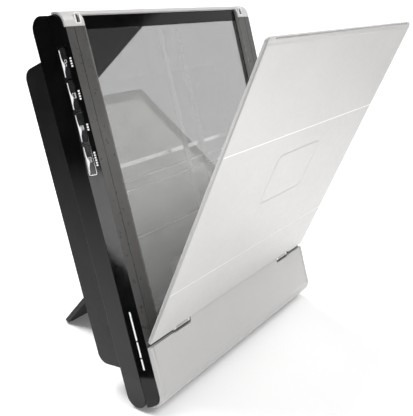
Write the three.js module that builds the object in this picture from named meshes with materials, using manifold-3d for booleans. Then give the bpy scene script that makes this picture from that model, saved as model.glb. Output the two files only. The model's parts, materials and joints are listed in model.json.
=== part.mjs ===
// Flatbed scanner, standing on its hinge end and leaning back on a fold-out leg, with its lid open.
// Every piece is modelled on the scanner's own axes: x across the glass, y along the glass from the
// hinge end, z out of the glass, with z = 0 on the rails. The whole is then stood up and leaned back.
import * as THREE from "three";
import { mergeVertices } from "three/addons/utils/BufferGeometryUtils.js";
import Module from "manifold-3d";

const wasm = await Module();
wasm.setup();

// ---- driving dimensions, millimetres and degrees ----
const LENGTH = 411;
const TOP_WIDTH = 314;
const FLARE = 5;
const FRAME_DEPTH = 16;
const CASE_DEPTH = 43;
const COVER_DEPTH = 80;
const LEAN = 15;
const LID_OPEN = 39;
const GAP = 0.3;
const WALL = 2.4;

// the well between the rails, and the glass at its foot
const RAIL = 24.4;
const OPENING_Y = [82, 387];
const WELL_END_Y = 405.4;
const WELL_DEPTH = 5;
const GLASS_THICKNESS = 3;
const GLASS_MARGIN = 4;

// hinge
const PIVOT_Y = 70.7;
const PIVOT_Z = 2.5;
const PANEL_TOP = 5;
const PANEL_END_Y = 67.4;
const TONGUE_X = [66, TOP_WIDTH - 66];
const TONGUE_END_Y = 75;
const ARM_X = [42, 61];
const EAR_WIDTH = 3;
const KNUCKLE_RADIUS = 2.2;
const PIN_RADIUS = 0.8;
const ARM_LENGTH = 40;
const LIFT_GUIDE_TOP = -22;

// lid, measured from the hinge pivot
const LID_TOP = PANEL_TOP - PIVOT_Z;
const LID_BOTTOM = -2.2;
const LID_NEAR_EDGE = 3;
const LID_MIDDLE_EDGE = 6;
const LID_END = LENGTH - 0.8 - PIVOT_Y;

// end cap
const CAP_START_Y = 394;
const CAP_THICKNESS = 2.5;
const CAP_SLOT_X = [15, 19.5];
const CAP_SLOT_Y = [397.5, 406];
const END_INSET = 3;
const END_RADIUS = 13;

// keys
const KEY_STRIP_Y = [250, 377];
const KEY_COUNT = 4;
const SLOPE = Math.atan2(FLARE, FRAME_DEPTH);

// underside cover and stand
const COVER_Y = [40, 371];
const COVER_X = [1, TOP_WIDTH - 1];
const COVER_ROUND = 12;
const COVER_DRAFT = 5;
const POCKET_DEPTH = 10.5;
const LOCK_X = [268, 292];
const LOCK_Y = [326, 336];
const LOCK_DEPTH = 2.4;
const SCREW_RADIUS = 3.2;
const SCREW_HEAD = 1.1;
const LEG_X = [73, TOP_WIDTH - 73];
const LEG_PIVOT_Y = 150;
const LEG_PIVOT_Z = -74.6;
const LEG_THICKNESS = 6;
const LEG_ANGLE = -122.8;
const LEG_BARREL_RADIUS = 4.4;
const LEG_PIN_RADIUS = 2;
const LEG_RAIL = 26;
const LEG_SLOT_Y = [26, 140];
const PAD_THICKNESS = 2;

// scanning gear
const HOME_Y = 87;
const SENSOR_X = [34.5, 279.5];
const SPACER_HEIGHT = 0.9;
const HOUSING_HEIGHT = 9.3;
const TRAY_THICKNESS = 2;
const SHAFT_X = 157;
const SHAFT_RADIUS = 3;
const HOLDER_THICKNESS = 8;
const SHAFT_Y = [66, 400];
const MODULE_SIZE = 1;
const RACK_X = [200, 206];
const RACK_PITCH_Z = -37;
const RACK_TEETH = 99;
const DRIVE_TEETH = 16;
const PINION_TEETH = 8;
const TOOTH_CLEARANCE = 0.45;
const AXLE_RADIUS = 1.5;
const MOTOR_RADIUS = 6.5;
const MOTOR_SHAFT_RADIUS = 1.2;

// electronics
const USB_Y = [32, 44.5];
const USB_Z = [-35.7, -24.4];
const USB_WALL = 1.2;
const BOARD_THICKNESS = 1.6;

const ROUND_STEPS = 8;
const rad = THREE.MathUtils.degToRad;

// ---- materials ----
const finish = (color, roughness, metalness = 0) => new THREE.MeshStandardMaterial({ color, roughness, metalness });
const glossBlack = finish(0x0b0b0c, 0.15);
const satinBlack = finish(0x141415, 0.4);
const silver = finish(0xc4c4c2, 0.35, 0.6);
const paleGlass = finish(0xaab4b2, 0.05);
const white = finish(0xf2f2f0, 0.6);
const darkGrey = finish(0x3a3b3d, 0.5);
const rubber = finish(0x1b1b1b, 0.9);
const steel = finish(0xb9babc, 0.25, 1);
const boardGreen = finish(0x1f5a35, 0.6);
const palePlastic = finish(0xdcd9cf, 0.5);

// ---- fixings, fittings and inner parts ----
const CASE_END = 10;
const FLOOR_WINDOW_INSET = 20;
const FLOOR_WINDOW_Y = [100, 340];
const ROOM_INSET = 5;
const ROOM_START_Y = 14;
const ROOM_END_Y = 402;
const WELL_ROUND = 3;
const STRIP_INSET = 26;
const STRIP_START = 0.6;
const STRIP_WIDTH = 3.8;
const STRIP_THICKNESS = 0.6;
const KEY_POCKET_X = [2.4, 10.6];
const KEY_POCKET_Z = [-4.4, 0];
const KEY_ROUND = 1.2;
const KEY_BOARD_X = [2.8, 10.2];
const KEY_BOARD_Z = [-4.1, -3];
const KEY_BOARD_INSET = 1.5;
const LID_CORNER = 4;
const LID_FRAME_THICKNESS = 1.2;
const LEG_ROUND = 10;
const LEG_SLOT_ROUND = 8;
const LEG_PAST_PIN = 2;
const LEG_PAST_PAD = 8;
const FOOT_RADIUS = 7;
const FOOT_HEIGHT = 2;
const SCREW_CROSS = [0.6, 0.16];
const LOCK_CLEARANCE = 0.6;
const LOCK_LENGTH = 13.4;
const LOCK_RIB_PITCH = 3.2;
const LOCK_RIB_WIDTH = 1.2;
const TRAY_INSET = 14;
const TRAY_HALF_LENGTH = 12;
const BEARING_HALF = 8;
const LENS_Y = [-1.8, 1.8];
const LIGHT_Y = [3.6, 7];
const SENSOR_DEPTH = 3.6;
const HOUSING_INSET = 30;
const HOUSING_Y = [-9, 9];
const MAIN_BOARD_X = [186, TOP_WIDTH - 4];
const MAIN_BOARD_Y = [14, 62];
const RIBBON_X = [96, 126];
const STANDING_PAD_X = [30, 74];
const FOOT_INSET_X = 26;
const FOOT_PLACES_Y = [64, 342];

// ---- solids ----
function toSolid(geometry) {
  const bare = geometry.clone();
  bare.deleteAttribute("normal");
  bare.deleteAttribute("uv");
  const merged = mergeVertices(bare, 1e-4);
  const vertProperties = new Float32Array(merged.attributes.position.array);
  const triVerts = new Uint32Array(merged.index.array);
  return new wasm.Manifold(new wasm.Mesh({ numProp: 3, vertProperties, triVerts }));
}

function toMesh(solid, name, material) {
  const data = solid.getMesh();
  const geometry = new THREE.BufferGeometry();
  geometry.setAttribute("position", new THREE.BufferAttribute(Float32Array.from(data.vertProperties), 3));
  geometry.setIndex(Array.from(data.triVerts));
  geometry.computeVertexNormals();
  const mesh = new THREE.Mesh(geometry, material);
  mesh.name = name;
  return mesh;
}

function block(x, y, z) {
  const geometry = new THREE.BoxGeometry(x[1] - x[0], y[1] - y[0], z[1] - z[0]);
  geometry.translate((x[0] + x[1]) / 2, (y[0] + y[1]) / 2, (z[0] + z[1]) / 2);
  return toSolid(geometry);
}

// A prism of a shape drawn in y and z, from x[0] to x[1].
function prismX(shape, x) {
  const geometry = new THREE.ExtrudeGeometry(shape, {
    depth: x[1] - x[0],
    bevelEnabled: false,
    curveSegments: ROUND_STEPS,
  });
  const axes = [new THREE.Vector3(0, 1, 0), new THREE.Vector3(0, 0, 1), new THREE.Vector3(1, 0, 0)];
  geometry.applyMatrix4(new THREE.Matrix4().makeBasis(...axes));
  geometry.translate(x[0], 0, 0);
  return toSolid(geometry);
}

// A prism of a shape drawn in x and z, from y[0] to y[1].
function prismY(shape, y) {
  const geometry = new THREE.ExtrudeGeometry(shape, {
    depth: y[1] - y[0],
    bevelEnabled: false,
    curveSegments: ROUND_STEPS,
  });
  const axes = [new THREE.Vector3(1, 0, 0), new THREE.Vector3(0, 0, 1), new THREE.Vector3(0, -1, 0)];
  geometry.applyMatrix4(new THREE.Matrix4().makeBasis(...axes));
  geometry.translate(0, y[1], 0);
  return toSolid(geometry);
}

// A prism of a shape drawn in x and y, from z[0] to z[1].
function prismZ(shape, z) {
  const geometry = new THREE.ExtrudeGeometry(shape, {
    depth: z[1] - z[0],
    bevelEnabled: false,
    curveSegments: ROUND_STEPS,
  });
  geometry.translate(0, 0, z[0]);
  return toSolid(geometry);
}

function polygon(points) {
  return new THREE.Shape(points.map(([a, b]) => new THREE.Vector2(a, b)));
}

function roundedRect(u, v, radius) {
  const shape = new THREE.Shape();
  shape.moveTo(u[0] + radius, v[0]);
  shape.absarc(u[1] - radius, v[0] + radius, radius, -Math.PI / 2, 0, false);
  shape.absarc(u[1] - radius, v[1] - radius, radius, 0, Math.PI / 2, false);
  shape.absarc(u[0] + radius, v[1] - radius, radius, Math.PI / 2, Math.PI, false);
  shape.absarc(u[0] + radius, v[0] + radius, radius, Math.PI, 1.5 * Math.PI, false);
  shape.closePath();
  return shape;
}

// A rod along x, centred on y and z.
function rodX(radius, x, y, z, sides = 24) {
  const geometry = new THREE.CylinderGeometry(radius, radius, x[1] - x[0], sides);
  geometry.rotateZ(Math.PI / 2);
  geometry.translate((x[0] + x[1]) / 2, y, z);
  return toSolid(geometry);
}

// A rod along y, centred on x and z.
function rodY(radius, y, x, z, sides = 24) {
  const geometry = new THREE.CylinderGeometry(radius, radius, y[1] - y[0], sides);
  geometry.translate(x, (y[0] + y[1]) / 2, z);
  return toSolid(geometry);
}

// A rod along z, centred on x and y.
function rodZ(radius, z, x, y, sides = 24) {
  const geometry = new THREE.CylinderGeometry(radius, radius, z[1] - z[0], sides);
  geometry.rotateX(Math.PI / 2);
  geometry.translate(x, y, (z[0] + z[1]) / 2);
  return toSolid(geometry);
}

const mirrorX = (x) => [TOP_WIDTH - x[1], TOP_WIDTH - x[0]];
const grown = (range, by) => [range[0] - by, range[1] + by];
const around = (centre, half) => [centre - half, centre + half];

// ---- levels and places worked out from the driving dimensions ----
const CASE_FLOOR = -CASE_DEPTH + WALL;
const CASE_OUTER_X = [-FLARE, TOP_WIDTH + FLARE];
const GLASS_X = grown([RAIL, TOP_WIDTH - RAIL], GLASS_MARGIN);
const GLASS_Y = grown(OPENING_Y, GLASS_MARGIN);
const GLASS_TOP = -WELL_DEPTH - GAP;
const GLASS_BOTTOM = GLASS_TOP - GLASS_THICKNESS;
const CAP_STEP = CAP_THICKNESS + GAP;
const ARM_Y = around(PIVOT_Y, 2);
const POCKET_X = grown(LEG_X, 2);
const POCKET_Y = [LEG_PIVOT_Y - 8, 340];
const POCKET_Z = -COVER_DEPTH + POCKET_DEPTH;
const SCREW_PLACES = [[24, 96], [TOP_WIDTH - 24, 96], [24, 300], [TOP_WIDTH - 24, 300]];
const HOUSING_TOP = GLASS_BOTTOM - SPACER_HEIGHT - 2 * GAP;
const TRAY_TOP = HOUSING_TOP - HOUSING_HEIGHT - GAP;
const TRAY_BOTTOM = TRAY_TOP - TRAY_THICKNESS;
const SHAFT_Z = TRAY_BOTTOM - 2 * SHAFT_RADIUS;
const DRIVE_RADIUS = (DRIVE_TEETH * MODULE_SIZE) / 2;
const PINION_RADIUS = (PINION_TEETH * MODULE_SIZE) / 2;
const GEAR_Z = RACK_PITCH_Z + DRIVE_RADIUS;
const MOTOR_Y = -DRIVE_RADIUS - PINION_RADIUS - GAP;

// ---- case ----
function bottomCase() {
  const depth = CASE_DEPTH - FRAME_DEPTH - GAP;
  const radius = depth / 2;
  const middle = -CASE_DEPTH + radius;
  const profile = new THREE.Shape();
  profile.moveTo(radius, middle - radius);
  profile.absarc(LENGTH - radius, middle, radius, -Math.PI / 2, Math.PI / 2, false);
  profile.absarc(radius, middle, radius, Math.PI / 2, 1.5 * Math.PI, false);
  profile.closePath();
  const usbHole = block([TOP_WIDTH, TOP_WIDTH + 2 * FLARE], grown(USB_Y, GAP), grown(USB_Z, GAP));
  const room = block(grown(CASE_OUTER_X, -WALL), [CASE_END, LENGTH - CASE_END], [CASE_FLOOR, 0]);
  const windowX = grown([0, TOP_WIDTH], -FLOOR_WINDOW_INSET);
  const floorWindow = block(windowX, FLOOR_WINDOW_Y, around(CASE_FLOOR, 2 * WALL));
  const solid = prismX(profile, CASE_OUTER_X).subtract(room).subtract(floorWindow).subtract(usbHole);
  return toMesh(solid, "bottom_case", glossBlack);
}

function coverProfile(inset) {
  const round = COVER_ROUND - inset;
  const lean = Math.atan(COVER_DRAFT / (COVER_DEPTH - CASE_DEPTH));
  const centreZ = -COVER_DEPTH + COVER_ROUND;
  const wallIn = (-CASE_DEPTH - centreZ) * Math.tan(lean);
  const centreIn = wallIn + COVER_ROUND / Math.cos(lean);
  const topIn = -CASE_DEPTH * Math.tan(lean) + inset / Math.cos(lean);
  const profile = new THREE.Shape();
  profile.moveTo(COVER_Y[0] + topIn, 0);
  profile.lineTo(COVER_Y[0] + centreIn - round * Math.cos(lean), centreZ - round * Math.sin(lean));
  profile.absarc(COVER_Y[0] + centreIn, centreZ, round, Math.PI + lean, 1.5 * Math.PI, false);
  profile.absarc(COVER_Y[1] - centreIn, centreZ, round, 1.5 * Math.PI, 2 * Math.PI - lean, false);
  profile.lineTo(COVER_Y[1] - topIn, 0);
  profile.closePath();
  return profile;
}

function undersideCover() {
  const below = -COVER_DEPTH - 1;
  const lockFloor = -COVER_DEPTH + LOCK_DEPTH;
  const keep = block(CASE_OUTER_X, [0, LENGTH], [below, -CASE_DEPTH - GAP]);
  const pocketWall = block(grown(POCKET_X, WALL), grown(POCKET_Y, WALL), [below, POCKET_Z + WALL]);
  const lockWall = block(grown(LOCK_X, WALL), grown(LOCK_Y, WALL), [below, lockFloor + WALL]);
  const hollow = prismX(coverProfile(WALL), grown(COVER_X, -WALL)).subtract(pocketWall).subtract(lockWall);
  let solid = prismX(coverProfile(0), COVER_X).intersect(keep).subtract(hollow);
  solid = solid.subtract(block(POCKET_X, POCKET_Y, [below, POCKET_Z]));
  solid = solid.subtract(block(LOCK_X, LOCK_Y, [below, lockFloor]));
  solid = solid.subtract(rodX(LEG_PIN_RADIUS + GAP, grown(POCKET_X, 2 * WALL), LEG_PIVOT_Y, LEG_PIVOT_Z));
  for (const [x, y] of SCREW_PLACES) {
    solid = solid.subtract(rodZ(SCREW_RADIUS + GAP, [below, -COVER_DEPTH + SCREW_HEAD + GAP], x, y));
  }
  return toMesh(solid, "underside_cover", satinBlack);
}

// The frame's profile along its length: full height between the ends, stepped down under the end cap.
function frameProfile() {
  const endY = [END_INSET, LENGTH - END_INSET];
  const capRound = END_RADIUS - CAP_STEP;
  const profile = new THREE.Shape();
  profile.moveTo(endY[0], -FRAME_DEPTH);
  profile.lineTo(endY[1], -FRAME_DEPTH);
  profile.absarc(endY[1] - capRound, -END_RADIUS, capRound, 0, Math.PI / 2, false);
  profile.lineTo(WELL_END_Y, -CAP_STEP);
  profile.lineTo(WELL_END_Y, 0);
  profile.absarc(endY[0] + END_RADIUS, -END_RADIUS, END_RADIUS, Math.PI / 2, Math.PI, false);
  profile.closePath();
  return profile;
}

// The room under the rails and the hinge end, all round the well's walls.
function frameRoom() {
  const below = -FRAME_DEPTH - 1;
  const wellWall = RAIL - WALL;
  const roomX = [ROOM_INSET, TOP_WIDTH - ROOM_INSET];
  const side = block([roomX[0], wellWall], [ROOM_START_Y, GLASS_Y[1]], [below, -WALL]);
  const otherSide = block([TOP_WIDTH - wellWall, roomX[1]], [ROOM_START_Y, GLASS_Y[1]], [below, -WALL]);
  const hingeEnd = block(roomX, [ROOM_START_Y, OPENING_Y[0] - WALL], [below, -WALL]);
  const glass = block(grown(GLASS_X, GAP), grown(GLASS_Y, GAP), [below, -WELL_DEPTH]);
  const farEnd = block(roomX, [GLASS_Y[0], ROOM_END_Y], [below, -WELL_DEPTH - WALL]);
  return side.add(otherSide).add(hingeEnd).add(glass).add(farEnd);
}

function topFrame() {
  const section = polygon([
    [0, 0],
    [-FLARE, -FRAME_DEPTH],
    [TOP_WIDTH + FLARE, -FRAME_DEPTH],
    [TOP_WIDTH, 0],
  ]);
  const wellX = [RAIL, TOP_WIDTH - RAIL];
  let solid = prismX(frameProfile(), CASE_OUTER_X).intersect(prismY(section, [0, LENGTH]));
  solid = solid.subtract(frameRoom());
  solid = solid.subtract(prismZ(roundedRect(wellX, OPENING_Y, WELL_ROUND), [-FRAME_DEPTH - 1, 1]));
  solid = solid.subtract(block(wellX, [OPENING_Y[1] - 10, WELL_END_Y + GAP], [-WELL_DEPTH, 1]));
  for (const x of [[-FLARE, RAIL], [TOP_WIDTH - RAIL, TOP_WIDTH + FLARE]]) {
    solid = solid.subtract(block(x, [CAP_START_Y - GAP, LENGTH], [-CAP_STEP, 1]));
  }
  for (const x of [ARM_X, mirrorX(ARM_X)]) {
    solid = solid.subtract(block(grown(x, GAP), grown(ARM_Y, GAP), [-FRAME_DEPTH - 1, 1]));
  }
  return toMesh(solid.subtract(onSlope(keyPocket())), "top_frame", glossBlack);
}

// A curved strip over the far end, wide at both corners and narrow beside the well.
function endCap() {
  const centre = LENGTH - END_RADIUS;
  const inner = END_RADIUS - CAP_THICKNESS;
  const bottom = -FRAME_DEPTH + GAP;
  const profile = new THREE.Shape();
  profile.moveTo(CAP_START_Y, -CAP_THICKNESS);
  profile.lineTo(centre, -CAP_THICKNESS);
  profile.absarc(centre, -END_RADIUS, inner, Math.PI / 2, 0, true);
  profile.lineTo(LENGTH - CAP_THICKNESS, bottom);
  profile.lineTo(LENGTH, bottom);
  profile.absarc(centre, -END_RADIUS, END_RADIUS, 0, Math.PI / 2, false);
  profile.lineTo(CAP_START_Y, 0);
  profile.closePath();
  const through = [-WELL_DEPTH, 1];
  let solid = prismX(profile, [0, TOP_WIDTH]);
  solid = solid.subtract(block([RAIL, TOP_WIDTH - RAIL], [CAP_START_Y - 1, WELL_END_Y + GAP], through));
  for (const x of [CAP_SLOT_X, mirrorX(CAP_SLOT_X)]) {
    solid = solid.subtract(block(x, CAP_SLOT_Y, through));
  }
  return toMesh(solid, "end_cap", silver);
}

function panelProfile() {
  const outer = PANEL_TOP + END_RADIUS;
  const inner = END_RADIUS + GAP;
  const bottom = -FRAME_DEPTH + GAP;
  const profile = new THREE.Shape();
  profile.moveTo(PANEL_END_Y, GAP);
  profile.lineTo(PANEL_END_Y, PANEL_TOP);
  profile.absarc(outer, -END_RADIUS, outer, Math.PI / 2, Math.PI, false);
  profile.lineTo(0, bottom);
  profile.lineTo(END_INSET - GAP, bottom);
  profile.absarc(END_INSET + END_RADIUS, -END_RADIUS, inner, Math.PI, Math.PI / 2, true);
  profile.closePath();
  return profile;
}

function hingePanel() {
  const tongue = block(TONGUE_X, [PANEL_END_Y - 10, TONGUE_END_Y], [GAP, PANEL_TOP]);
  const clearance = KNUCKLE_RADIUS * 2;
  let solid = prismX(panelProfile(), [0, TOP_WIDTH]).add(tongue);
  for (const x of [ARM_X, mirrorX(ARM_X)]) {
    const knuckleX = grown(x, EAR_WIDTH + 2 * GAP);
    solid = solid.subtract(block(knuckleX, [PIVOT_Y - clearance, TONGUE_END_Y + 1], [-1, PANEL_TOP + 1]));
  }
  return toMesh(solid, "hinge_panel", silver);
}

function glassPlate() {
  return toMesh(block(GLASS_X, GLASS_Y, [GLASS_BOTTOM, GLASS_TOP]), "glass_plate", paleGlass);
}

// The white strip that the sensor reads before each scan, under the hinge end of the glass.
function calibrationStrip() {
  const top = GLASS_BOTTOM - GAP;
  const startY = GLASS_Y[0] + STRIP_START;
  const stripX = grown([0, TOP_WIDTH], -STRIP_INSET);
  const strip = block(stripX, [startY, startY + STRIP_WIDTH], [top - STRIP_THICKNESS, top]);
  return toMesh(strip, "calibration_strip", white);
}

// ---- keys, on the slanted near side: local x runs up the slope, local z out of it ----
function onSlope(solid) {
  const angle = THREE.MathUtils.radToDeg(SLOPE) - 90;
  return solid.rotate([0, angle, 0]).translate([-FLARE, 0, -FRAME_DEPTH]);
}

const BEZEL_X = [1.6, 11.1];
const BEZEL_Z = [-2.5, 0.2];
const KEY_MARGIN = 1;
const KEY_PITCH = (KEY_STRIP_Y[1] - KEY_STRIP_Y[0]) / KEY_COUNT;
const KEY_Z = [-2.3, 0.8];

function keyPocket() {
  const upper = block(grown(BEZEL_X, GAP), grown(KEY_STRIP_Y, GAP), [BEZEL_Z[0] - GAP, 3]);
  const lower = block(KEY_POCKET_X, grown(KEY_STRIP_Y, -0.5), KEY_POCKET_Z);
  return upper.add(lower);
}

function keyRange(index) {
  const start = KEY_STRIP_Y[0] + index * KEY_PITCH;
  return [start + KEY_MARGIN, start + KEY_PITCH - KEY_MARGIN];
}

function slopeGroup() {
  const group = new THREE.Group();
  group.position.set(-FLARE, 0, -FRAME_DEPTH);
  group.rotation.y = SLOPE - Math.PI / 2;
  let bezel = prismZ(roundedRect(BEZEL_X, KEY_STRIP_Y, 2), BEZEL_Z);
  const keyX = grown(BEZEL_X, -KEY_MARGIN);
  const names = ["copy_key", "scan_key", "document_key", "mail_key"];
  for (let index = 0; index < KEY_COUNT; index += 1) {
    const range = keyRange(KEY_COUNT - 1 - index);
    bezel = bezel.subtract(block(keyX, range, [-5, 5]));
    const centre = (range[0] + range[1]) / 2;
    const half = (range[1] - range[0]) / 2 - GAP;
    const key = toMesh(
      prismZ(roundedRect(grown(keyX, -GAP), [-half, half], KEY_ROUND), KEY_Z),
      names[index],
      satinBlack,
    );
    key.position.y = centre;
    group.add(key);
  }
  group.add(toMesh(bezel, "key_bezel", glossBlack));
  const board = block(KEY_BOARD_X, grown(KEY_STRIP_Y, -KEY_BOARD_INSET), KEY_BOARD_Z);
  group.add(toMesh(board, "key_board", boardGreen));
  return group;
}

// ---- hinge and lid ----
function hingeArm(name, x) {
  const plate = block(x, [ARM_Y[0] - PIVOT_Y, ARM_Y[1] - PIVOT_Y], [-ARM_LENGTH, 0]);
  const solid = plate.add(rodX(KNUCKLE_RADIUS, x, 0, 0)).subtract(rodX(PIN_RADIUS + GAP, grown(x, 1), 0, 0));
  const arm = toMesh(solid, name, silver);
  arm.position.set(0, PIVOT_Y, PIVOT_Z);
  return arm;
}

function hingeGuide(name, x) {
  const floor = CASE_FLOOR + GAP;
  const outer = block(grown(x, GAP + 2), grown(ARM_Y, GAP + 2), [floor, LIFT_GUIDE_TOP]);
  const slot = block(grown(x, GAP), grown(ARM_Y, GAP), [floor + 2, 0]);
  return toMesh(outer.subtract(slot), name, darkGrey);
}

function lidOutline(inset) {
  const shape = new THREE.Shape();
  const round = LID_CORNER - inset;
  const right = TOP_WIDTH - inset;
  const end = LID_END - inset;
  const edge = LID_NEAR_EDGE + inset;
  const middle = LID_MIDDLE_EDGE + inset;
  const notch = grown([ARM_X[0], TOP_WIDTH - ARM_X[0]], EAR_WIDTH + 1 + inset);
  shape.moveTo(inset, edge);
  shape.lineTo(notch[0], edge);
  shape.lineTo(notch[0], middle);
  shape.lineTo(notch[1], middle);
  shape.lineTo(notch[1], edge);
  shape.lineTo(right, edge);
  shape.absarc(right - round, end - round, round, 0, Math.PI / 2, false);
  shape.absarc(inset + round, end - round, round, Math.PI / 2, Math.PI, false);
  shape.closePath();
  return shape;
}

// The x ranges of the two ears beside each hinge arm.
function earRanges() {
  return [ARM_X, mirrorX(ARM_X)].flatMap((arm) => [
    [arm[0] - GAP - EAR_WIDTH, arm[0] - GAP],
    [arm[1] + GAP, arm[1] + GAP + EAR_WIDTH],
  ]);
}

const SKIN_THICKNESS = 1.2;
const MAT_X = [26, TOP_WIDTH - 26];
const MAT_Y = [14.5, 315.5];
const EAR_ROOT_Y = LID_MIDDLE_EDGE + 3;
const EAR_TOP = LID_TOP - SKIN_THICKNESS - GAP;

function lidSkin() {
  const underside = LID_TOP - SKIN_THICKNESS;
  const plate = prismZ(lidOutline(0), [LID_BOTTOM + LID_FRAME_THICKNESS, LID_TOP]);
  let solid = plate.subtract(prismZ(lidOutline(SKIN_THICKNESS), [LID_BOTTOM, underside]));
  for (const x of earRanges()) {
    solid = solid.subtract(block(grown(x, GAP), [0, EAR_ROOT_Y], [LID_BOTTOM, underside]));
  }
  return toMesh(solid, "lid_skin", silver);
}

function lidFrame() {
  const recess = block(grown(MAT_X, 0.5), grown(MAT_Y, 0.5), [LID_BOTTOM - 1, LID_BOTTOM + 0.5]);
  let solid = prismZ(lidOutline(SKIN_THICKNESS + GAP), [LID_BOTTOM, EAR_TOP]).subtract(recess);
  for (const x of earRanges()) {
    const ear = rodX(KNUCKLE_RADIUS, x, 0, 0).add(block(x, [0, EAR_ROOT_Y], [LID_BOTTOM, EAR_TOP]));
    solid = solid.add(ear.subtract(rodX(PIN_RADIUS + GAP, grown(x, 1), 0, 0)));
  }
  return toMesh(solid, "lid_frame", silver);
}

// The foam pad that reaches down into the well and holds a document flat on the glass.
function documentMat() {
  const face = -PIVOT_Z - WELL_DEPTH + 0.5;
  return toMesh(prismZ(roundedRect(MAT_X, MAT_Y, 2), [face, LID_BOTTOM + 0.2]), "document_mat", white);
}

function hingePin(name, x) {
  return toMesh(rodX(PIN_RADIUS, grown(x, EAR_WIDTH), 0, 0, 16), name, steel);
}

function lidGroup() {
  const group = new THREE.Group();
  group.position.set(0, PIVOT_Y, PIVOT_Z);
  group.rotation.x = rad(LID_OPEN);
  group.add(lidSkin(), lidFrame(), documentMat());
  group.add(hingePin("hinge_pin_left", ARM_X), hingePin("hinge_pin_right", mirrorX(ARM_X)));
  return group;
}

// ---- stand ----
// Height of the leg's pivot over the floor, from the round end of the case that the pads sit on.
function standHeights() {
  const radius = (CASE_DEPTH - FRAME_DEPTH - GAP) / 2;
  const up = [Math.cos(rad(LEAN)), Math.sin(rad(LEAN))];
  const centre = [radius, -CASE_DEPTH + radius];
  const height = ([y, z]) => y * up[0] + z * up[1];
  const floor = height(centre) - radius - GAP - PAD_THICKNESS;
  return { radius, centre, pivot: height([LEG_PIVOT_Y, LEG_PIVOT_Z]) - floor };
}

function standGroup() {
  const group = new THREE.Group();
  group.position.set(0, LEG_PIVOT_Y, LEG_PIVOT_Z);
  group.rotation.x = rad(LEG_ANGLE);
  const upAngle = rad(LEAN - LEG_ANGLE);
  const up = [Math.cos(upAngle), Math.sin(upAngle)];
  const height = standHeights().pivot;
  const half = LEG_THICKNESS / 2;
  const deep = 3 * LEG_THICKNESS;
  // distance along the leg at which a line at local z reaches a height over the floor
  const reach = (z, over) => (over - height - z * up[1]) / up[0];
  const padTop = PAD_THICKNESS + GAP;
  const plateEnd = Math.min(reach(-half, padTop), reach(half, padTop)) + LEG_PAST_PAD;
  const slotX = grown(LEG_X, -LEG_RAIL);
  const plate = prismZ(roundedRect(LEG_X, [-LEG_PAST_PIN, plateEnd], LEG_ROUND), [-half, half]);
  const slot = prismZ(roundedRect(slotX, LEG_SLOT_Y, LEG_SLOT_ROUND), [-half - 1, half + 1]);
  const floorCut = prismX(
    polygon([
      [reach(-deep, padTop), -deep],
      [plateEnd + 3 * deep, -deep],
      [plateEnd + 3 * deep, deep],
      [reach(deep, padTop), deep],
    ]),
    grown(LEG_X, 5),
  );
  let leg = plate.add(rodX(LEG_BARREL_RADIUS, LEG_X, 0, 0)).subtract(slot).subtract(floorCut);
  leg = leg.subtract(rodX(LEG_PIN_RADIUS + GAP, grown(LEG_X, 1), 0, 0));
  group.add(toMesh(leg, "stand_leg", satinBlack));
  const pad = prismX(
    polygon([
      [reach(-half, PAD_THICKNESS), -half],
      [reach(-half, 0), -half],
      [reach(half, 0), half],
      [reach(half, PAD_THICKNESS), half],
    ]),
    grown(LEG_X, -8),
  );
  group.add(toMesh(pad, "stand_foot_pad", rubber));
  return group;
}

function standPin() {
  const pin = rodX(LEG_PIN_RADIUS, grown(POCKET_X, WALL - GAP), LEG_PIVOT_Y, LEG_PIVOT_Z);
  return toMesh(pin, "stand_pin", steel);
}

// Pads that the standing end rests on: flat below, hollowed above to the round end of the case.
function standingPad(name, x) {
  const { radius, centre } = standHeights();
  const halfWidth = 5;
  const seat = radius + GAP;
  const side = Math.asin(halfWidth / seat);
  const bottom = -radius - GAP - PAD_THICKNESS;
  const profile = new THREE.Shape();
  profile.moveTo(-halfWidth, bottom);
  profile.lineTo(halfWidth, bottom);
  profile.absarc(0, 0, seat, -Math.PI / 2 + side, -Math.PI / 2 - side, true);
  profile.closePath();
  const pad = toMesh(prismX(profile, x), name, rubber);
  pad.position.set(0, centre[0], centre[1]);
  pad.rotation.x = rad(LEAN) - Math.PI / 2;
  return pad;
}

function rubberFoot(name, x, y) {
  const top = -COVER_DEPTH - GAP;
  return toMesh(rodZ(FOOT_RADIUS, [top - FOOT_HEIGHT, top], x, y, 28), name, rubber);
}

function caseScrew(name, x, y) {
  const top = -COVER_DEPTH + SCREW_HEAD;
  const slotZ = [-COVER_DEPTH - 1, top - SCREW_HEAD / 2];
  const long = SCREW_RADIUS * SCREW_CROSS[0];
  const narrow = SCREW_RADIUS * SCREW_CROSS[1];
  const cross = block(around(x, long), around(y, narrow), slotZ);
  const other = block(around(x, narrow), around(y, long), slotZ);
  const head = rodZ(SCREW_RADIUS, [-COVER_DEPTH, top], x, y, 20);
  return toMesh(head.subtract(cross).subtract(other), name, steel);
}

function lockSlider() {
  const y = grown(LOCK_Y, -LOCK_CLEARANCE);
  const top = -COVER_DEPTH + LOCK_DEPTH - GAP;
  const start = LOCK_X[0] + LOCK_CLEARANCE;
  let solid = block([start, start + LOCK_LENGTH], y, [top - 1.4, top]);
  for (let rib = 1; rib <= 3; rib += 1) {
    const x = start + rib * LOCK_RIB_PITCH;
    solid = solid.add(block([x, x + LOCK_RIB_WIDTH], grown(y, -1), [top - 2.1, top - 1]));
  }
  return toMesh(solid, "lock_slider", darkGrey);
}

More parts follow.
